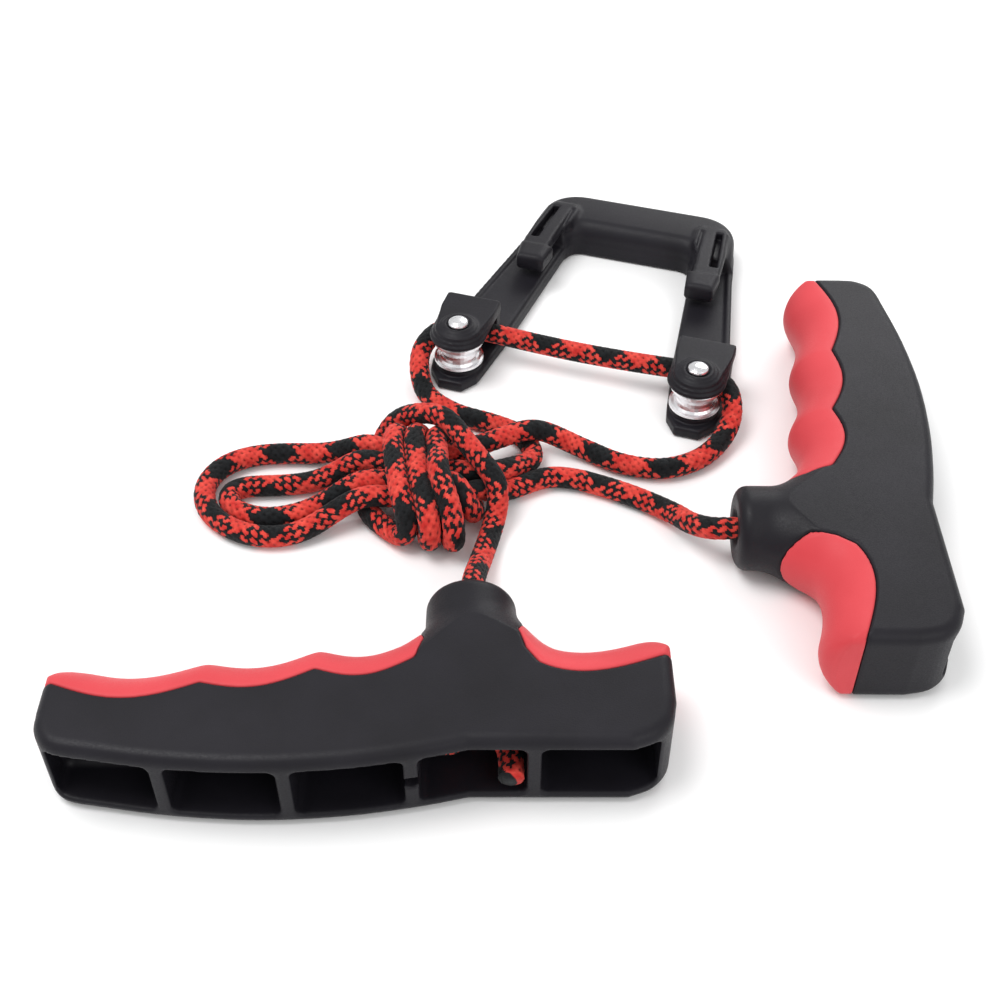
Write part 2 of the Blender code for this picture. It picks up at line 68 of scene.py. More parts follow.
LEFT_AXLE, RIGHT_AXLE = centre("roller_left"), centre("roller_right")
YOKE_PLACE = Vector(((LEFT_AXLE.x + RIGHT_AXLE.x) / 2, LEFT_AXLE.y, 0))
AXLE_X = (RIGHT_AXLE.x - LEFT_AXLE.x) / 2 / MM
HALF_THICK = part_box("handle_a_core")[1][2] / 2 / MM


# ---------------------------------------------------------------- camera, stage and light

CAMERA_LENS = 50.87
CAMERA_NEAR = 0.02
CAMERA_PLACE = (75.9, -315.9, 272.8)     # from the middle of the two axles
CAMERA_TILT, CAMERA_TURN = 45.65, 17.4   # degrees
LAMPS = (                                # name, place, width of the disk, power
    ("key", (-0.35, -0.15, 0.9), 0.55, 5.5),
    ("fill", (0.75, -0.5, 0.7), 0.8, 3.0),
    ("back", (0.1, 0.9, 0.55), 0.6, 3.0),
)
LAMP_TARGET = (0, 0, 0.01)
SKY_STRENGTH = 0.72
FLOOR_SIZE = 60
FLOOR_HEIGHT = -0.0002                   # just below what rests on it
FLOOR_WHITE = (0.93, 0.93, 0.93, 1)


def add_camera():
    data = bpy.data.cameras.new("camera")
    data.lens = CAMERA_LENS
    data.clip_start = CAMERA_NEAR
    camera = bpy.data.objects.new("camera", data)
    camera.location = YOKE_PLACE + Vector(CAMERA_PLACE) * MM
    camera.rotation_euler = (math.radians(CAMERA_TILT), 0, math.radians(CAMERA_TURN))
    bpy.context.scene.collection.objects.link(camera)
    bpy.context.scene.camera = camera


def add_lamp(name, place, size, power):
    data = bpy.data.lights.new(name, "AREA")
    data.shape = "DISK"
    data.size = size
    data.energy = power
    lamp = bpy.data.objects.new(name, data)
    lamp.location = place
    aim = Vector(LAMP_TARGET) - Vector(place)
    lamp.rotation_euler = aim.to_track_quat("-Z", "Y").to_euler()
    bpy.context.scene.collection.objects.link(lamp)


def add_stage():
    bpy.ops.mesh.primitive_plane_add(size=FLOOR_SIZE, location=(0, 0, FLOOR_HEIGHT))
    floor = bpy.context.object
    floor.name = "studio_floor"
    nodes, shader = new_material("floor_paper")
    shader.inputs["Base Color"].default_value = FLOOR_WHITE
    shader.inputs["Roughness"].default_value = 0.9
    grain = nodes.new("ShaderNodeTexNoise")
    grain.inputs["Scale"].default_value = 900
    bump = nodes.new("ShaderNodeBump")
    bump.inputs["Strength"].default_value = 0.03
    bump.inputs["Distance"].default_value = 0.0001
    join(nodes, grain.outputs["Fac"], bump.inputs["Height"])
    join(nodes, bump.outputs["Normal"], shader.inputs["Normal"])
    floor.data.materials.append(bpy.data.materials["floor_paper"])
    world = bpy.data.worlds.new("studio")
    world.use_nodes = True
    sky = world.node_tree.nodes["Background"]
    sky.inputs["Color"].default_value = (1, 1, 1, 1)
    sky.inputs["Strength"].default_value = SKY_STRENGTH
    bpy.context.scene.world = world
    bpy.context.scene.view_settings.view_transform = "Standard"
    for lamp in LAMPS:
        add_lamp(*lamp)


# ---------------------------------------------------------------- materials

# The darkest and lightest tone of each material
CHARCOAL = ((0.0075, 0.0068, 0.0095), (0.0115, 0.0105, 0.0145))
CORAL = ((0.560, 0.046, 0.056), (0.640, 0.060, 0.072))
RED_YARN = ((0.64, 0.030, 0.024), (0.92, 0.095, 0.068))
BLACK_YARN = ((0.0035, 0.0042, 0.0050), (0.012, 0.014, 0.016))
YARN_CONTRAST = (0.32, 0.68)
ALUMINIUM, STEEL = (0.86, 0.86, 0.88), (0.88, 0.88, 0.90)
METAL_SHADE = 0.92   # a metal's darkest tone, as a share of its colour


def new_material(name):
    """A new material's nodes and its Principled BSDF."""
    made = bpy.data.materials.new(name)
    made.use_nodes = True
    nodes = made.node_tree.nodes
    return nodes, nodes["Principled BSDF"]


def join(nodes, output, inlet):
    nodes.id_data.links.new(output, inlet)


def noise(nodes, scale, detail=2.0, stretch=(1, 1, 1)):
    """Noise over the object's own coordinates, in metres."""
    place = nodes.new("ShaderNodeTexCoord")
    mapping = nodes.new("ShaderNodeMapping")
    mapping.inputs["Scale"].default_value = stretch
    made = nodes.new("ShaderNodeTexNoise")
    made.inputs["Scale"].default_value = scale
    made.inputs["Detail"].default_value = detail
    join(nodes, place.outputs["Object"], mapping.inputs["Vector"])
    join(nodes, mapping.outputs["Vector"], made.inputs["Vector"])
    return made.outputs["Fac"]


def ramp(nodes, value, low, high, start=0.3, end=0.7):
    """A colour or grey that goes from low to high as value goes from start to end."""
    made = nodes.new("ShaderNodeValToRGB")
    for element, place, tone in zip(made.color_ramp.elements, (start, end), (low, high)):
        element.position = place
        element.color = (*tone, 1) if isinstance(tone, tuple) else (tone, tone, tone, 1)
    join(nodes, value, made.inputs["Fac"])
    return made.outputs["Color"]


def bumped(nodes, shader, heights):
    """Adds bumps in turn, each (height socket, depth in metres, strength)."""
    normal = None
    for height, depth, strength in heights:
        bump = nodes.new("ShaderNodeBump")
        bump.inputs["Distance"].default_value = depth
        bump.inputs["Strength"].default_value = strength
        join(nodes, height, bump.inputs["Height"])
        if normal:
            join(nodes, normal, bump.inputs["Normal"])
        normal = bump.outputs["Normal"]
    join(nodes, normal, shader.inputs["Normal"])


def make_plastic():
    """Charcoal nylon with a fine moulded grain."""
    nodes, shader = new_material("grained_plastic")
    cloud = noise(nodes, 60, 3)
    grain = noise(nodes, 2600, 1)
    join(nodes, ramp(nodes, cloud, *CHARCOAL), shader.inputs["Base Color"])
    join(nodes, ramp(nodes, grain, 0.40, 0.56), shader.inputs["Roughness"])
    shader.inputs["Specular IOR Level"].default_value = 0.21
    bumped(nodes, shader, [(grain, 0.00006, 0.35), (noise(nodes, 240, 2), 0.00012, 0.12)])
    return bpy.data.materials["grained_plastic"]


def make_rubber():
    """Coral-red soft overmould, matt, with a faint mottling."""
    nodes, shader = new_material("matt_coral")
    cloud = noise(nodes, 45, 3)
    grain = noise(nodes, 3200, 1)
    join(nodes, ramp(nodes, cloud, *CORAL), shader.inputs["Base Color"])
    join(nodes, ramp(nodes, grain, 0.46, 0.62), shader.inputs["Roughness"])
    shader.inputs["Specular IOR Level"].default_value = 0.26
    shader.inputs["Sheen Weight"].default_value = 0.05
    bumped(nodes, shader, [(grain, 0.00005, 0.30)])
    return bpy.data.materials["matt_coral"]


def make_metal(name, colour, low, high, ring_scale):
    """Bright metal with faint rings from turning."""
    nodes, shader = new_material(name)
    shader.inputs["Metallic"].default_value = 1.0
    shade = tuple(METAL_SHADE * c for c in colour)
    join(nodes, ramp(nodes, noise(nodes, 500, 2), shade, colour), shader.inputs["Base Color"])
    rings = noise(nodes, ring_scale, 2, (0.05, 0.05, 1))
    join(nodes, ramp(nodes, rings, low, high), shader.inputs["Roughness"])
    bumped(nodes, shader, [(rings, 0.00002, 0.25)])
    return bpy.data.materials[name]


def mixed(nodes, factor, first, second, blend="MIX"):
    """Two colours mixed; factor is a socket or a number."""
    made = nodes.new("ShaderNodeMix")
    made.data_type = "RGBA"
    made.blend_type = blend
    colours = [inlet for inlet in made.inputs if inlet.type == "RGBA"]
    if isinstance(factor, float):
        made.inputs[0].default_value = factor
    else:
        join(nodes, factor, made.inputs[0])
    join(nodes, first, colours[0])
    join(nodes, second, colours[1])
    return next(outlet for outlet in made.outputs if outlet.type == "RGBA")


def attribute(nodes, name):
    made = nodes.new("ShaderNodeAttribute")
    made.attribute_name = name
    return made.outputs["Fac"]


def make_rope():
    """Polyester braid: the mesh's yarn attribute says red or black, and fibres run along each yarn. Its
    depth attribute, each point's stitch height, paints shade into the grooves between stitches.
    """
    nodes, shader = new_material("braid_yarns")
    worn = noise(nodes, 420, 3)
    red = ramp(nodes, worn, *RED_YARN, *YARN_CONTRAST)
    black = ramp(nodes, worn, *BLACK_YARN, *YARN_CONTRAST)
    colour = mixed(nodes, ramp(nodes, attribute(nodes, "yarn"), 0.0, 1.0, 0.46, 0.54), black, red)
    # painted shade: the yarn colour is darkened where the stitch is low, in the grooves between stitches
    shade = ramp(nodes, attribute(nodes, "depth"), 0.12, 0.80, 0.05, 0.86)
    colour_with_painted_shade = mixed(nodes, 1.0, colour, shade, "MULTIPLY")
    join(nodes, colour_with_painted_shade, shader.inputs["Base Color"])
    wave = nodes.new("ShaderNodeMath")
    wave.operation = "SINE"
    join(nodes, attribute(nodes, "fibre"), wave.inputs[0])
    join(nodes, ramp(nodes, noise(nodes, 1500, 2), 0.62, 0.85), shader.inputs["Roughness"])
    shader.inputs["Sheen Weight"].default_value = 0.06
    shader.inputs["Specular IOR Level"].default_value = 0.16
    bumped(nodes, shader, [(wave.outputs["Value"], 0.00005, 0.5), (noise(nodes, 2400, 2), 0.00005, 0.4)])
    return bpy.data.materials["braid_yarns"]


def finish_node(name, finish):
    """Gives a CAD node that stays its better material."""
    for slot in frame["nodes"][name].material_slots:
        slot.material = finish


# ---------------------------------------------------------------- rope

ROPE_RADIUS = 3.0
STITCH = 2.4                 # one stitch's pitch along the rope
COLUMNS = 8                  # yarns each way round the rope, half of them red
HALF_LONG, HALF_WIDE = 1.85, 0.80   # half of one stitch's length and width
STITCH_RISE = 0.5            # how far a stitch stands above the groove beside it
FIBRE_WAVES = 22.0           # the fibre wave's phase, in radians for each millimetre across a yarn
RING_STEP = 0.46
RING_POINTS = 40

LINE_STEP = 2.0              # between the centreline's points while it settles
NEIGHBOURS = 5               # points this close in order don't push each other
CLEARANCE = 5.85             # between centrelines, a little pressed together
ROUNDS = 420
PUSH, STRAIGHTEN, STIFFEN, RETURN, SINK = 0.42, 0.22, 0.20, 0.012, 0.015
LARGEST_MOVE = 0.6
LENGTH_ROUNDS, LENGTH_SHARE = 3, 0.24
SMOOTH_ROUNDS, SMOOTH_SHARE = 3, 0.5

STRAND_A = ((5.1, -113.0, 11.5), (0.3, -98.0, 11.5), (-1.6, -91.5, 10.8), (-3.0, -85.0, 8.0),
            (-4.2, -77.5, 4.6), (-4.9, -70.0, 3.3), (-5.3, -64.5, 3.1), (-5.5, -59.4, 3.1))
STRAND_B = ((73.0, -47.9, 11.5), (57.1, -52.7, 11.5), (51.0, -53.2, 10.3), (45.5, -50.0, 7.4),
            (40.5, -45.0, 4.4), (33.0, -41.5, 3.1), (24.0, -39.5, 3.0), (14.0, -38.4, 3.0),
            (4.0, -37.9, 3.0))
ROLLER_RUN = ((-1.0, -28.0, 3.1), (-9.0, -24.0, 3.1), (-19.0, -23.0, 3.1), (-30.0, -21.8, 3.1),
              (-39.5, -17.6, 3.6), (-44.6, -11.0, 5.6), (-46.6, -3.5, 8.4), (-44.9, 4.0, 9.7),
              (-40.2, 8.2, 9.8), (-35.0, 9.4, 9.8), (-28.0, 9.2, 9.7), (-14.0, 8.9, 9.3), (0.0, 8.8, 9.1),
              (14.0, 8.9, 9.3), (28.0, 9.2, 9.7), (35.0, 9.4, 9.8), (40.6, 8.0, 9.7),
              (45.4, 3.6, 9.0), (47.6, -3.5, 6.2), (46.2, -11.5, 3.7), (41.5, -20.5, 3.1),
              (33.0, -27.0, 3.1), (22.0, -28.5, 3.1), (11.0, -26.0, 3.2), (4.6, -24.4, 5.0))
# From strand A: over the hank, round its left side, and three wraps from front to back
WRAPS = ((-7.0, -56.0, 7.0), (-10.3, -53.4, 11.5), (-15.0, -48.6, 15.8), (-22.5, -43.4, 18.0),
         (-31.1, -39.2, 17.2), (-38.5, -37.5, 14.0), (-43.8, -38.5, 8.5), (-46.0, -43.0, 4.0),
         (-46.5, -50.0, 3.0), (-45.5, -57.0, 3.0), (-43.5, -64.0, 3.0), (-39.5, -69.3, 3.0),
         (-33.5, -71.5, 3.0), (-28.0, -73.5, 3.6), (-24.5, -76.5, 7.0), (-24.3, -74.0, 12.6),
         (-28.6, -67.0, 14.2), (-33.2, -60.0, 14.6), (-37.4, -52.5, 14.2), (-40.6, -45.0, 12.2),
         (-40.2, -39.5, 8.0), (-37.0, -39.5, 3.8), (-32.5, -45.5, 3.0), (-28.5, -53.5, 3.0),
         (-24.5, -62.5, 3.0), (-20.5, -71.0, 3.2), (-18.0, -77.2, 6.5), (-18.2, -75.8, 13.0),
         (-22.3, -68.8, 15.0), (-26.6, -61.0, 15.6), (-30.6, -53.0, 15.4), (-34.0, -45.0, 13.6),
         (-34.6, -39.8, 9.0), (-31.5, -38.5, 4.0), (-26.5, -44.5, 3.0), (-22.5, -52.5, 3.0),
         (-18.5, -61.5, 3.0), (-14.8, -70.0, 3.2), (-11.6, -75.8, 6.5), (-11.8, -74.3, 12.6),
         (-15.6, -67.6, 14.8), (-19.8, -59.8, 15.2), (-23.8, -52.0, 14.8), (-27.4, -44.8, 13.4),
         (-28.6, -38.6, 9.2), (-25.6, -36.8, 4.6), (-20.0, -40.5, 3.0), (-14.5, -48.0, 3.0),
         (-11.0, -54.5, 3.0), (-9.6, -60.5, 3.4))
INNER_LOOP = ((-11.6, -65.2, 5.6), (-16.2, -64.8, 8.4), (-21.0, -60.6, 9.2), (-26.5, -58.0, 9.0),
              (-33.0, -57.5, 8.9), (-41.0, -59.5, 9.3), (-48.0, -64.5, 5.8), (-53.0, -69.5, 3.3),
              (-57.0, -74.5, 3.0),
              (-62.0, -78.3, 3.0), (-68.0, -79.5, 3.0), (-75.0, -78.0, 3.0), (-79.4, -75.0, 3.0),
              (-80.2, -71.5, 3.0), (-76.0, -68.5, 3.0), (-70.2, -66.7, 3.0), (-64.7, -65.0, 3.0),
              (-57.5, -61.5, 3.0), (-53.0, -56.8, 4.6), (-47.5, -52.8, 7.8), (-40.0, -51.6, 9.0),
              (-31.0, -51.3, 9.0), (-22.0, -51.2, 9.0), (-15.0, -50.0, 9.3), (-10.0, -48.5, 9.6),
              (-5.5, -45.0, 8.2), (-2.6, -40.5, 5.0), (-1.4, -35.5, 3.3), (-2.0, -31.0, 3.1))
OUTER_LOOP = ((-2.0, -25.5, 8.3), (-8.5, -29.0, 9.4), (-13.5, -35.0, 9.4), (-18.5, -41.0, 9.1),
              (-25.0, -44.8, 9.0), (-33.0, -45.6, 9.0), (-41.0, -45.6, 9.0), (-48.5, -46.4, 8.0),
              (-55.0, -48.0, 4.2), (-64.8, -51.0, 3.0), (-72.0, -52.8, 3.0), (-79.5, -56.0, 3.0),
              (-85.0, -61.0, 3.0), (-87.3, -68.0, 3.0), (-85.8, -75.5, 3.0), (-80.5, -81.5, 3.0),
              (-72.0, -85.4, 3.0), (-63.0, -86.0, 3.0), (-56.0, -83.2, 3.0), (-50.5, -77.5, 4.5),
              (-46.0, -71.5, 8.0), (-41.0, -66.5, 9.4), (-33.0, -64.0, 9.0), (-24.0, -63.5, 9.0),
              (-16.0, -62.5, 7.5), (-11.0, -58.5, 4.4), (-8.0, -53.0, 3.0), (-5.8, -46.5, 3.0),
              (-1.5, -40.5, 3.0))


def smooth_path(points, steps):
    """Points along a smooth curve through the given points, which keeps its first and last."""
    points = [Vector(p) for p in points]
    knots = [2 * points[0] - points[1], *points, 2 * points[-1] - points[-2]]
    path = []
    for p0, p1, p2, p3 in zip(knots, knots[1:], knots[2:], knots[3:]):
        for step in range(steps):
            t = step / steps
            path.append(0.5 * (2 * p1 + (p2 - p0) * t + (2 * p0 - 5 * p1 + 4 * p2 - p3) * t * t
                               + (3 * p1 - p0 - 3 * p2 + p3) * t ** 3))
    return np.array([*path, knots[-2]])


def evenly(path, step):
    """The same line with its points this far apart."""
    reach = np.concatenate([[0], np.cumsum(np.linalg.norm(np.diff(path, axis=0), axis=1))])
    places = np.linspace(0, reach[-1], max(2, round(reach[-1] / step) + 1))
    return np.stack([np.interp(places, reach, path[:, axis]) for axis in range(3)], axis=1)


def settled(drawn, held):
    """The drawn line pushed clear of itself and of the floor, while it keeps its length and stays smooth.
    held is 0 where a point is free and 1 where it stays."""
    line = drawn.copy()
    lengths = np.linalg.norm(np.diff(drawn, axis=0), axis=1)[:, None]
    free = (1 - held)[:, None]
    apart = np.abs(np.subtract.outer(np.arange(len(line)), np.arange(len(line))))
    others = apart > NEIGHBOURS
    for _ in range(ROUNDS):
        move = np.zeros_like(line)
        between = line[:, None] - line[None]
        gap = np.linalg.norm(between, axis=2) + 1e-9
        push = np.where(others & (gap < CLEARANCE), (CLEARANCE - gap) / gap, 0.0)
        move += PUSH * (push[..., None] * between).sum(axis=1)
        bend = np.zeros_like(line)
        bend[1:-1] = (line[:-2] + line[2:]) / 2 - line[1:-1]
        move += STRAIGHTEN * bend
        move[1:-1] -= STIFFEN * ((bend[:-2] + bend[2:]) / 2 - bend[1:-1])
        move += RETURN * (drawn - line)
        move[:, 2] -= SINK
        line += free * np.clip(move, -LARGEST_MOVE, LARGEST_MOVE)
        for _ in range(LENGTH_ROUNDS):
            run = np.diff(line, axis=0)
            long = np.linalg.norm(run, axis=1)[:, None]
            fix = LENGTH_SHARE * (long - lengths) / long * run
            line[:-1] += free[:-1] * fix
            line[1:] -= free[1:] * fix
        line[:, 2] = np.where(held > 0.5, line[:, 2], np.maximum(line[:, 2], ROPE_RADIUS))
    return line


def rope_line():
    """The whole rope's centreline in the yoke's frame, from inside handle A to inside handle B."""
    parts = (STRAND_A, WRAPS, INNER_LOOP, ROLLER_RUN[1:], OUTER_LOOP, tuple(reversed(STRAND_B)))
    drawn = evenly(smooth_path([p for part in parts for p in part], 8), LINE_STEP)

    def place(point):
        return int(np.argmin(np.linalg.norm(drawn - np.array(point), axis=1)))

    # The ends and the run round the rollers stay where they are drawn.
    held = np.zeros(len(drawn))
    held[:place(STRAND_A[6])] = 1
    held[place(ROLLER_RUN[2]):place(ROLLER_RUN[-2])] = 1
    held[place(STRAND_B[-2]):] = 1
    line = settled(drawn, held)
    for _ in range(SMOOTH_ROUNDS):
        bend = (line[:-2] + line[2:]) / 2 - line[1:-1]
        line[1:-1] += SMOOTH_SHARE * (1 - held[1:-1, None]) * bend
    return evenly(smooth_path(line, 6), RING_STEP)


def side_vectors(path, hint):
    """Two unit vectors across the line at each point, carried along it without twisting."""
    run = np.gradient(path, axis=0)
    run /= np.linalg.norm(run, axis=1)[:, None]
    side = np.array(hint, float) - np.dot(hint, run[0]) * run[0]
    sides = []
    for along in run:
        side = side - np.dot(side, along) * along
        side /= np.linalg.norm(side)
        sides.append(side)
    sides = np.array(sides)
    return sides, np.cross(run, sides)


def braid(along, around):
    """Height, colour and fibre phase of a two-way braid's surface. along is in stitches and around in
    columns; each way's yarns ride over the other's at every second crossing."""
    best = np.full(along.shape, -1.0)
    red, fibre = np.zeros(along.shape), np.zeros(along.shape)
    column = 2 * math.pi * ROPE_RADIUS / COLUMNS
    for way, shift in ((1, 0.0), (-1, 0.5)):
        base_u, base_v = np.round(along - shift), np.round(around - shift)
        for du in (-1, 0, 1):
            for dv in (-1, 0, 1):
                u, v = base_u + shift + du, base_v + shift + dv
                x, y = (along - u) * STITCH, (around - v) * column * way
                long, across = (x + y) * math.sqrt(0.5), (y - x) * math.sqrt(0.5)
                height = 1 - (long / HALF_LONG) ** 2 - (across / HALF_WIDE) ** 2
                carrier = np.round(v - way * u).astype(int) % COLUMNS
                over = height > best
                best = np.where(over, height, best)
                red = np.where(over, (carrier < COLUMNS / 2).astype(float), red)
                fibre = np.where(over, across * FIBRE_WAVES, fibre)
    return np.sqrt(np.clip(best, 0, 1)), red, fibre


def braid_mesh(name, path, hint=(0, 0, 1)):
    """A braided rope along the path, as one closed skin with its stitches raised."""
    first, second = side_vectors(path, hint)
    count = len(path)
    along = (np.arange(count) * RING_STEP / STITCH)[:, None]
    around = (np.arange(RING_POINTS) / RING_POINTS * COLUMNS)[None]
    angle = 2 * math.pi * (around / COLUMNS)
    height, red, fibre = braid(np.broadcast_to(along, (count, RING_POINTS)),
                               np.broadcast_to(around, (count, RING_POINTS)))
    radius = ROPE_RADIUS - STITCH_RISE + STITCH_RISE * height
    points = (path[:, None] + (radius * np.cos(angle))[..., None] * first[:, None]
              + (radius * np.sin(angle))[..., None] * second[:, None])
    index = np.arange(count * RING_POINTS).reshape(count, RING_POINTS)
    beside = np.roll(index, -1, axis=1)
    quads = np.stack([index[:-1], beside[:-1], beside[1:], index[1:]], axis=-1).reshape(-1, 4)
    faces = [*quads.tolist(), index[0, ::-1].tolist(), index[-1].tolist()]
    mesh = bpy.data.meshes.new(name)
    mesh.from_pydata((points.reshape(-1, 3) * MM).tolist(), [], faces)
    # depth is the stitch height, which the rope's material uses to paint shade into the grooves
    for label, values in (("yarn", red), ("depth", height), ("fibre", fibre)):
        layer = mesh.attributes.new(label, "FLOAT", "POINT")
        layer.data.foreach_set("value", values.reshape(-1).astype(np.float32))
    mesh.shade_smooth()
    return mesh


def add_rope(material):
    line = rope_line()
    mesh = braid_mesh("braided_rope", line)
    mesh.materials.append(material)
    rope = bpy.data.objects.new("braided_rope", mesh)
    rope.location = YOKE_PLACE
    bpy.context.scene.collection.objects.link(rope)
    bpy.context.view_layer.update()
    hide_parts("rope_strand_a", "rope_strand_b", "rope_roller_run", "rope_hank")
    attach(rope, "yoke")


# ---------------------------------------------------------------- solids from distance fields

FIELD_BAND = 3.0   # fields are kept to this far from the surface
FAR = 1e9


def rounded_and(a, b, radius):
    """Where two fields overlap, with the edge between them rounded."""
    return np.minimum(np.maximum(a, b), -radius) + np.hypot(np.maximum(a + radius, 0),
                                                            np.maximum(b + radius, 0))


def rounded_or(a, b, radius):
    """Two fields joined, with a fillet between them."""
    return -rounded_and(-a, -b, radius)


def polygon(points, x, y):
    """Signed distance to a closed outline, below zero inside it."""
    nearest = np.full(x.shape, FAR)
    inside = np.zeros(x.shape, bool)
    for (ax, ay), (bx, by) in zip(points, [*points[1:], points[0]]):
        ex, ey = bx - ax, by - ay
        px, py = x - ax, y - ay
        t = np.clip((px * ex + py * ey) / (ex * ex + ey * ey + 1e-12), 0, 1)
        nearest = np.minimum(nearest, (px - t * ex) ** 2 + (py - t * ey) ** 2)
        if ay != by:
            inside ^= ((ay > y) != (by > y)) & (px < ex * py / ey)
    return np.where(inside, -1, 1) * np.sqrt(nearest)


def grid(low, high, step):
    """The grid's three axes, ready to broadcast."""
    x, y, z = (np.arange(a, b + step, step) for a, b in zip(low, high))
    return x[:, None, None], y[None, :, None], z[None, None, :]


def skin(name, field, low, step):
    """The surface where the field is zero, as a smooth mesh in metres."""
    volume = openvdb.FloatGrid(FIELD_BAND)
    volume.copyFromArray(np.clip(field, -FIELD_BAND, FIELD_BAND).astype(np.float32), tolerance=0)
    volume.transform = openvdb.createLinearTransform(step)
    points, triangles, quads = volume.convertToPolygons(0.0, 0.0)
    mesh = bpy.data.meshes.new(name)
    mesh.from_pydata(((points + np.array(low)) * MM).tolist(), [], [*triangles.tolist(), *quads.tolist()])
    mesh.shade_smooth()
    return mesh


# ---------------------------------------------------------------- handles

HOLLOWS = (   # each finger hollow's two ends on the seam, its depth, and how far it leans
    ((-93.5, 16.3), (-60.3, 16.7), 4.2, 1.0),
    ((-60.3, 16.7), (-34.8, 20.6), 3.1, 1.0),
    ((-34.8, 20.6), (-13.0, 23.6), 3.3, 1.0),
    ((13.0, 25.2), (45.4, 25.0), 5.2, 0.75),
)
PALM = ((-95.6, 9.0), (-94.9, 4.0), (-91.0, -0.7), (-82.0, -2.6), (-66.0, -4.9), (-47.0, -6.0),
        (-28.0, -5.0), (-12.0, -2.6), (0.0, 0.0))
THUMB_CORNER = ((36.0, 0.0), (41.5, 2.3), (45.0, 6.4), (46.4, 12.5))
LEFT_END, RIGHT_END = -95.6, 46.4
SEAM_X = (LEFT_END, -93.5, -13.0, 13.0, RIGHT_END)
SEAM_Y = (16.2, 16.3, 23.6, 25.2, 25.0)
PAST_FRONT = 60.0            # outlines run this far, past the front of the handle
LEFT_TAPER, RIGHT_TAPER = 12.0, 8.0
END_DEPTH = 0.36             # the grip's depth at the very ends, as a share of its full depth
FRONT_EASE = 1.7
HANDLE_EDGE = 3.0
NECK_RADIUS, NECK_START, NECK_END = 11.0, 12.0, 49.5
NECK_FILLET_X, NECK_FILLETS = (-11, 11), (7, 11)
NECK_SIDES = ((-30.0, 10.0), (-15.0, 20.5), (-12.2, 24.6), (-10.6, 31.0), (-12.0, 37.0),
              (-20.0, 43.0), (-20.0, PAST_FRONT), (25.0, PAST_FRONT), (25.0, 49.0), (17.6, 44.2),
              (12.8, 39.5), (11.2, 33.0), (13.0, 26.8), (16.8, 21.3), (40.0, 10.0))
BORE_RADIUS, BORE_START = 3.6, 15.0
FLARE_START, FLARE_DEPTH, FLARE_SLOPE = 40.0, 1.8, 0.9
WALL = 3.4
RIBS = (-67.4, -39.9, -12.5, 14.6)
RIB_THICK = 3.2
POCKETS_START, POCKETS_END = -92.4, 42.4
POCKET_FLOORS = (8.6, 10.2, 12.6, 19.0, 14.6)
NOTCH_RADIUS, NOTCH_DEPTH = 1.8, 2.2
GRIP_DEPTH = 11.0
GRIP_BELOW, SEAM_GAP = 0.12, 0.06   # how far the red lies below the black face, and off the seam
GRIP_LOW, GRIP_HIGH = (9.0, -13.0), (45.0, 13.0)   # the grips' reach along Y and Z
SEAM_GROOVE = 0.45   # how far each piece's edge is rounded at the seam between black and red
CORE_STEP = 0.5
GRIP_STEP = 0.4
HANDLE_LOW, HANDLE_HIGH = (-97.5, -8.0, -13.5), (48.5, 51.5, 13.5)
# An overhand stopper knot below the washer, and its tail beside it in the pocket
KNOT = ((0, 24, 0), (0, 19, 0), (-0.5, 15.0, -1.5), (-3.5, 12.0, -4.3), (-6.2, 9.5, -1.2),
        (-3.8, 8.4, 3.8), (2.0, 9.6, 4.9), (5.0, 12.6, 2.4), (4.0, 14.4, -3.2), (-1.5, 13.8, -4.9),
        (-6.4, 13.6, -0.8), (-4.0, 13.4, 4.2), (1.4, 13.0, 2.0), (6.4, 12.0, -1.4),
        (9.0, 8.6, -2.9), (9.5, 4.6, -3.0), (9.5, 0.8, -3.0))


def seam(x):
    """The line where black core meets red grip on the flat faces, all along the handle."""
    line = np.interp(x, SEAM_X, SEAM_Y)
    for (x0, y0), (x1, y1), depth, lean in HOLLOWS:
        t = np.clip((x - x0) / (x1 - x0), 0, 1)
        hollow = y0 + (y1 - y0) * t - depth * np.sin(math.pi * t ** lean)
        line = np.where((x >= x0) & (x <= x1), hollow, line)
    return line


def eased(line, step, spread):
    """The line with its corners softened over this many millimetres."""
    reach = int(3 * spread / step)
    weights = np.exp(-0.5 * (np.arange(-reach, reach + 1) * step / spread) ** 2)
    padded = np.pad(line, reach, mode="edge")
    return np.convolve(padded, weights / weights.sum(), mode="valid")


def smooth_outline(points):
    return [tuple(p)[:2] for p in smooth_path([(*p, 0) for p in points], 4)]


def whole_handle(x, y, z, step):
    """Core and grips together: a bar with a half-round finger side, and the neck."""
    along = x[:, 0, 0]
    base = seam(along)
    front = eased(base, step, FRONT_EASE) + GRIP_DEPTH
    from_left = np.clip((along - LEFT_END) / LEFT_TAPER, 0, 1)
    from_right = np.clip((RIGHT_END - along) / RIGHT_TAPER, 0, 1)
    inward = np.minimum(from_left, from_right)
    ease = END_DEPTH + (1 - END_DEPTH) * np.sqrt(1 - (1 - inward) ** 2)
    base, depth = base[:, None, None], ((front - base) * ease)[:, None, None]
    ahead = np.maximum(y - base, 0) / depth
    nose = (np.sqrt(ahead ** 2 + (z / HALF_THICK) ** 2) - 1) * HALF_THICK
    outline = [*smooth_outline(PALM), *smooth_outline(THUMB_CORNER),
               (RIGHT_END, PAST_FRONT), (LEFT_END, PAST_FRONT)]
    plan = polygon(outline, x[:, :, 0], y[:, :, 0])[:, :, None]
    flat = np.abs(z) - HALF_THICK
    bar = np.maximum(rounded_and(plan, flat, HANDLE_EDGE), nose)
    neck = rounded_and(np.hypot(x, z) - NECK_RADIUS, y - NECK_END, HANDLE_EDGE)
    neck = np.maximum(neck, NECK_START - y)
    return np.maximum(rounded_or(bar, neck, np.interp(x, NECK_FILLET_X, NECK_FILLETS)), flat)


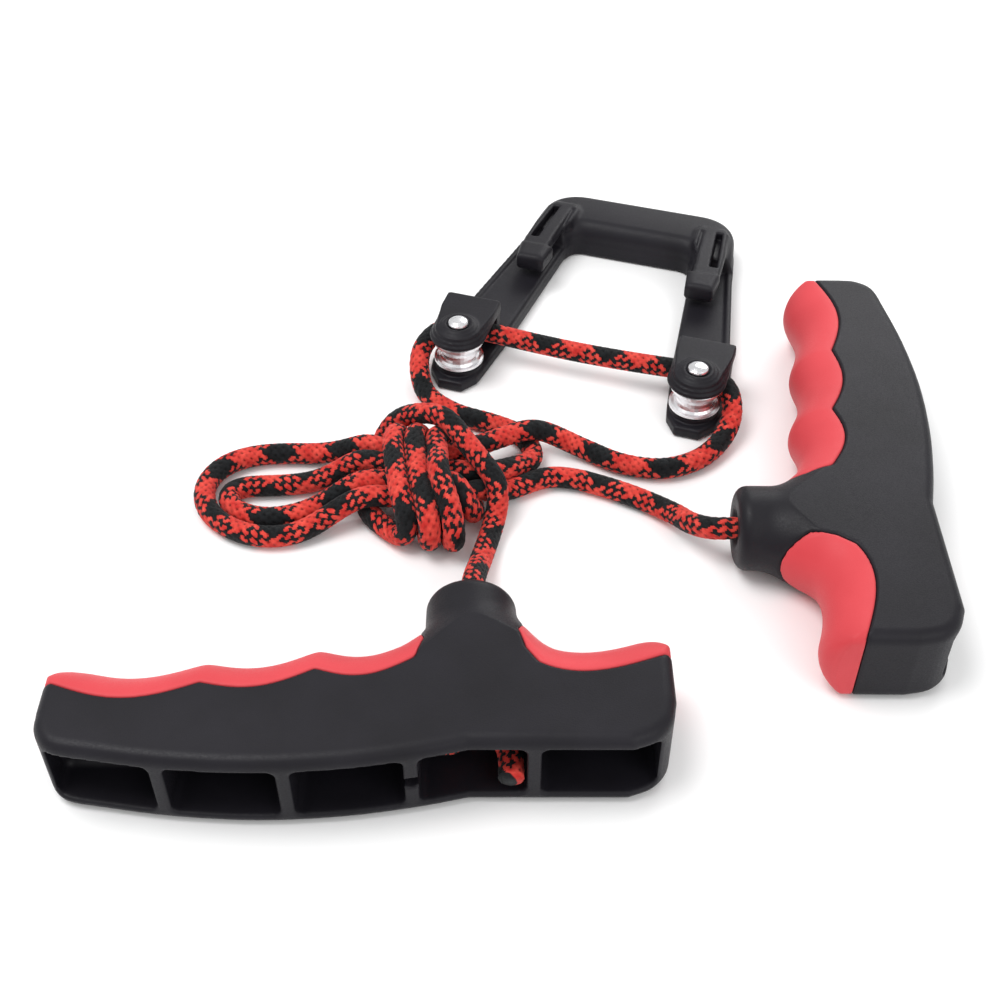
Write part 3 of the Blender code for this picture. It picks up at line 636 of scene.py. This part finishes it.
def black_part(x, y):
    """Below zero on the core's side of the seams. By the neck the black climbs the webs."""
    line = seam(x[:, 0, 0])[:, None, None]
    behind = y - line
    web = polygon(NECK_SIDES, x[:, :, 0], y[:, :, 0])[:, :, None]
    return np.minimum(behind, web)


def core_mesh():
    """The black core, with its palm pockets, the rope's bore and the notch in one rib."""
    low, step = HANDLE_LOW, CORE_STEP
    x, y, z = grid(low, HANDLE_HIGH, step)
    x, y = np.broadcast_arrays(x, y)
    field = rounded_and(whole_handle(x, y, z, step), black_part(x, y), SEAM_GROOVE)
    rib_faces = [rib + side * RIB_THICK / 2 for rib in RIBS for side in (-1, 1)]
    edges = [POCKETS_START, *rib_faces, POCKETS_END]
    for left, right, floor in zip(edges[::2], edges[1::2], POCKET_FLOORS):
        inside = rounded_and(np.abs(x - (left + right) / 2) - (right - left) / 2, y - floor, 2.2)
        pocket = rounded_and(inside, np.abs(z) - (HALF_THICK - WALL), 2.0)
        field = rounded_and(field, -pocket, 0.6)
    bore = np.maximum(np.hypot(x, z) - BORE_RADIUS, BORE_START - y)
    flare = np.hypot(x, z) - BORE_RADIUS - np.maximum(y - NECK_END + FLARE_DEPTH, 0) * FLARE_SLOPE
    field = rounded_and(field, -np.minimum(bore, np.maximum(flare, FLARE_START - y)), 0.5)
    notch = np.maximum(np.hypot(x - RIBS[2], z) - NOTCH_RADIUS, y - NOTCH_DEPTH)
    field = rounded_and(field, -notch, 0.4)
    return skin("handle_core", field, low, step)


def grip_mesh(first, last):
    """One red finger zone between two places along the grip, set a little below the core's faces."""
    low, high, step = (first, *GRIP_LOW), (last, *GRIP_HIGH), GRIP_STEP
    x, y, z = grid(low, high, step)
    x, y = np.broadcast_arrays(x, y)
    field = whole_handle(x, y, z, step) + GRIP_BELOW
    field = rounded_and(field, -black_part(x, y) + SEAM_GAP, SEAM_GROOVE)
    return skin("grip", field, low, step)


def handle_frame(letter):
    """The handle's own frame at rest, from its swivel: the neck along +Y and the grip along X."""
    joint = next(j for j in frame["record"]["behaviour"]["joints"] if j["name"] == f"handle_{letter}_swivel")
    neck = Vector(joint["axis"]).normalized()
    up = Vector((0, 0, 1)) if letter == "a" else Vector((0, 0, -1))
    turn = Matrix((neck.cross(up), neck, up)).transposed().to_4x4()
    return Matrix.Translation(joint["pos_m"]) @ turn


def add_handles(plastic, rubber, rope):
    core = core_mesh()
    knot = braid_mesh("rope_knot", evenly(smooth_path(KNOT, 12), RING_STEP), (1, 0, 0))
    grips = {"three_finger": grip_mesh(-97.0, -9.0), "one_finger": grip_mesh(9.0, 48.0)}
    core.materials.append(plastic)
    knot.materials.append(rope)
    for mesh in grips.values():
        mesh.materials.append(rubber)
    for letter in "ab":
        place = handle_frame(letter)
        pieces = {f"handle_{letter}_core": (core, "moulded_plastic"),
                  f"rope_knot_{letter}": (knot, "braided_rope")}
        for zone, mesh in grips.items():
            pieces[f"handle_{letter}_{zone}_grip"] = (mesh, "soft_grip")
        for node, (mesh, slot) in pieces.items():
            own = mesh.copy()
            own.transform(place)
            add_piece(f"visual_{node}", own, f"handle_{letter}", slot, node)


def add_piece(name, mesh, body, slot, *nodes):
    made = bpy.data.objects.new(name, mesh)
    bpy.context.scene.collection.objects.link(made)
    bpy.context.view_layer.update()
    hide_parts(*nodes)
    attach(made, body)


# ---------------------------------------------------------------- yoke

YOKE_STEP = 0.45
YOKE_LOW, YOKE_HIGH = (-46.35, -11.7, -0.9), (46.35, 93.0, 20.0)
MIDDLE = -5                  # outlines cross the middle plane by this much
WEB_TOP = 3.5
# The clevis's front in plan, from its axle
NOSE = ((8.5, 0), (7.6, -4.4), (3.6, -9.4), (-3.6, -9.4), (-7.0, -4.4), (-7.8, 0))
OUTER_CORNER, INNER_CORNER = 13, 5
LEG_START, LEG_END = 13.5, 74
LEG_LIFT = 2.0               # the leg's top above the web
LEG_SWELL, LEG_SWELL_REACH = 0.25, 12
BEAD_WIDTH, BEAD_TOP = 1.9, 7.0
RAISED_BOTTOM = 0.5          # where what stands on the web begins inside it
BRIDGE_TOP, BRIDGE_CROWN = 12.0, 0.9
BRIDGE_START = 65.5
BRIDGE_INNER_Y, BRIDGE_OUTER_Y = 71.0, 91.0
HOOK_BOTTOM, HOOK_TOP = 10.2, 14.0
HOOK_PLAN = ((22.9, 45.0), (31.6, 45.0), (32.3, 52.0), (31.8, 66.0), (30.4, 78.5), (28.4, 81.0),
             (21.4, 81.0), (20.0, 78.5), (20.6, 64.0))
HOOK_INSET = 1.0             # the hook's distance inside the yoke's outline
HOOK_FALL, HOOK_FALL_START, HOOK_FALL_LENGTH = 1.3, 54, 26
KNOB_BACK, KNOB_BOTTOM, KNOB_RISE = 53.5, 8.4, 0.3
HOOK_GROOVES = (             # plan and depth
    (((28.2, 57.5), (30.6, 57.5), (28.6, 78.0), (26.6, 78.0)), 3.8),
    (((22.2, 57.5), (23.4, 57.5), (22.4, 78.0), (21.4, 78.0)), 1.6),
)
EAR_BACK = 15.5
LOWER_EAR_TOP, UPPER_EAR_BOTTOM, UPPER_EAR_TOP = 5.0, 14.0, 17.6
EAR_TERRACES = ((8.5, 15.4), (7.7, 16.5), (6.9, UPPER_EAR_TOP))   # reach before the axle, and top
EAR_BACK_REACH, EAR_WIDENING = 8.4, 9
SPINE_REACH, SPINE_START, SPINE_BEHIND = 7.9, 13.0, 1.2
SPINE_BOTTOM, SPINE_TOP = 1.5, 15.6
# Round bosses on the axle: radius, bottom, top, rounded edge
BOSSES = ((6.9, 2.0, LOWER_EAR_TOP, 0.4), (5.7, 16.0, 18.1, 0.35), (4.6, 16.0, 18.6, 0.35))
# Holes on the axle: the rivet's, and the counterbores for its washer and head
HOLES = ((1.9, -5.0, 30.0), (4.2, -5.0, 2.4), (3.5, 18.0, 30.0))


def leg_outer(y):
    return 45.9 - 0.17 * y


def leg_inner(y):
    return 27.6 - 0.095 * y


def arc(middle, radius, start, end, steps):
    """Points on an arc, its angles in degrees."""
    angles = np.radians(np.linspace(start, end, steps + 1))
    return [(middle[0] + radius * math.cos(a), middle[1] + radius * math.sin(a)) for a in angles]


def slab(plan, z, bottom, top, radius):
    """A 2-D field raised from bottom to top, with its edges rounded."""
    return rounded_and(plan[:, :, None], np.maximum(bottom - z, z - top), radius)


def yoke_outline():
    """The right half in plan, from the middle of the bridge's outer edge round to its inner edge."""
    corner_y = BRIDGE_OUTER_Y - OUTER_CORNER
    corner = leg_outer(corner_y) - OUTER_CORNER
    inner = leg_inner(BRIDGE_INNER_Y) - INNER_CORNER
    return [(MIDDLE, BRIDGE_OUTER_Y), *arc((corner, corner_y), OUTER_CORNER, 90, 8, 10),
            *[(leg_outer(y), y) for y in (60, 15)], *[(AXLE_X + across, y) for across, y in NOSE],
            *[(leg_inner(y), y) for y in (15, 30, 66)],
            *arc((inner, BRIDGE_INNER_Y - INNER_CORNER), INNER_CORNER, 10, 90, 6),
            (MIDDLE, BRIDGE_INNER_Y)]


def with_legs_and_bridge(solid, base, x, y, z):
    leg = np.maximum(base, np.maximum(LEG_START - y, y - LEG_END))
    swell = LEG_SWELL * np.clip(x - leg_inner(y), 0, LEG_SWELL_REACH) ** 0.5
    rise = WEB_TOP + LEG_LIFT + swell
    solid = rounded_or(solid, slab(leg, z, RAISED_BOTTOM, rise[:, :, None], 1.0), 0.6)
    bead = np.maximum(leg, leg_outer(y) - BEAD_WIDTH - x)
    solid = rounded_or(solid, slab(bead, z, RAISED_BOTTOM, BEAD_TOP, 0.5), 0.4)
    bar = np.maximum(base, BRIDGE_START - y)
    crown = BRIDGE_TOP - BRIDGE_CROWN * ((y - (BRIDGE_INNER_Y + BRIDGE_OUTER_Y) / 2) / 10) ** 2
    bridge = rounded_and(bar[:, :, None], z - crown[:, :, None], 4.4)
    return rounded_or(solid, rounded_and(bridge, RAISED_BOTTOM - z, 0.7), 0.8)


def with_hook(solid, base, x, y, z):
    """A finger over the string's throat, with a knob at its front and two grooves along its top."""
    finger = polygon(HOOK_PLAN, x, y)
    top = HOOK_TOP - HOOK_FALL * np.clip((y - HOOK_FALL_START) / HOOK_FALL_LENGTH, 0, 1) ** 1.5
    hook = slab(np.maximum(finger, base + HOOK_INSET), z, HOOK_BOTTOM, top[:, :, None], 1.2)
    above = np.maximum(KNOB_BOTTOM - z, z - HOOK_TOP - KNOB_RISE)
    knob = rounded_and(np.maximum(finger, y - KNOB_BACK)[:, :, None], above, 1.7)
    solid = rounded_or(solid, rounded_or(hook, knob, 0.8), 1.6)
    for plan, depth in HOOK_GROOVES:
        cut = polygon(plan, x, y)[:, :, None]
        solid = rounded_and(solid, -rounded_and(cut, HOOK_TOP - depth - z, 0.5), 0.6)
    return solid


def with_clevis(solid, x, y, z):
    """The terraced upper ear, the spine that carries it, the bosses and the rivet's holes."""
    radial = np.hypot(x - AXLE_X, y)
    aside = np.abs(x - AXLE_X)
    for reach, height in EAR_TERRACES:
        wide = reach + (EAR_BACK_REACH - reach) * np.clip(y / EAR_WIDENING, 0, 1)
        ear = rounded_and(np.where(y < 0, radial - reach, aside - wide), y - EAR_BACK, 0.8)
        solid = rounded_or(solid, slab(ear, z, UPPER_EAR_BOTTOM, height, 0.45), 0.25)
    behind = np.maximum(SPINE_START - y, y - EAR_BACK - SPINE_BEHIND)
    spine = np.maximum(aside - SPINE_REACH, behind)
    solid = rounded_or(solid, slab(spine, z, SPINE_BOTTOM, SPINE_TOP, 0.6), 0.8)
    for radius, bottom, top, edge in BOSSES:
        solid = rounded_or(solid, slab(radial - radius, z, bottom, top, edge), 0.25)
    for radius, bottom, top in HOLES:
        hole = np.maximum((radial - radius)[:, :, None], np.maximum(bottom - z, z - top))
        solid = rounded_and(solid, -hole, 0.25)
    return solid


def yoke_mesh():
    """The moulding. Its fields are of the distance from the middle plane, so both sides are alike."""
    x, y, z = grid(YOKE_LOW, YOKE_HIGH, YOKE_STEP)
    x, y = (axis[:, :, 0] for axis in np.broadcast_arrays(np.abs(x), y))
    base = polygon(yoke_outline(), x, y)
    solid = slab(base, z, 0, WEB_TOP, 0.7)
    solid = with_legs_and_bridge(solid, base, x, y, z)
    solid = with_hook(solid, base, x, y, z)
    solid = with_clevis(solid, x, y, z)
    return skin("yoke_frame", solid, YOKE_LOW, YOKE_STEP)


def add_yoke(plastic):
    mesh = yoke_mesh()
    mesh.materials.append(plastic)
    mesh.transform(Matrix.Translation(YOKE_PLACE))
    add_piece("visual_yoke_frame", mesh, "yoke", "moulded_plastic", "yoke_frame")


# ---------------------------------------------------------------- assembly

add_stage()
add_camera()
plastic, rubber = make_plastic(), make_rubber()
aluminium = make_metal("bright_aluminium", ALUMINIUM, 0.24, 0.40, 1800)
steel = make_metal("polished_steel", STEEL, 0.18, 0.32, 900)
rope_finish = make_rope()
add_rope(rope_finish)
add_handles(plastic, rubber, rope_finish)
add_yoke(plastic)

for name in ("roller_left", "roller_right"):
    finish_node(name, aluminium)
for side in ("left", "right"):
    for name in ("roller_sleeve", "axle_rivet", "rivet_washer"):
        finish_node(f"{name}_{side}", steel)
for letter in "ab":
    finish_node(f"knot_washer_{letter}", steel)
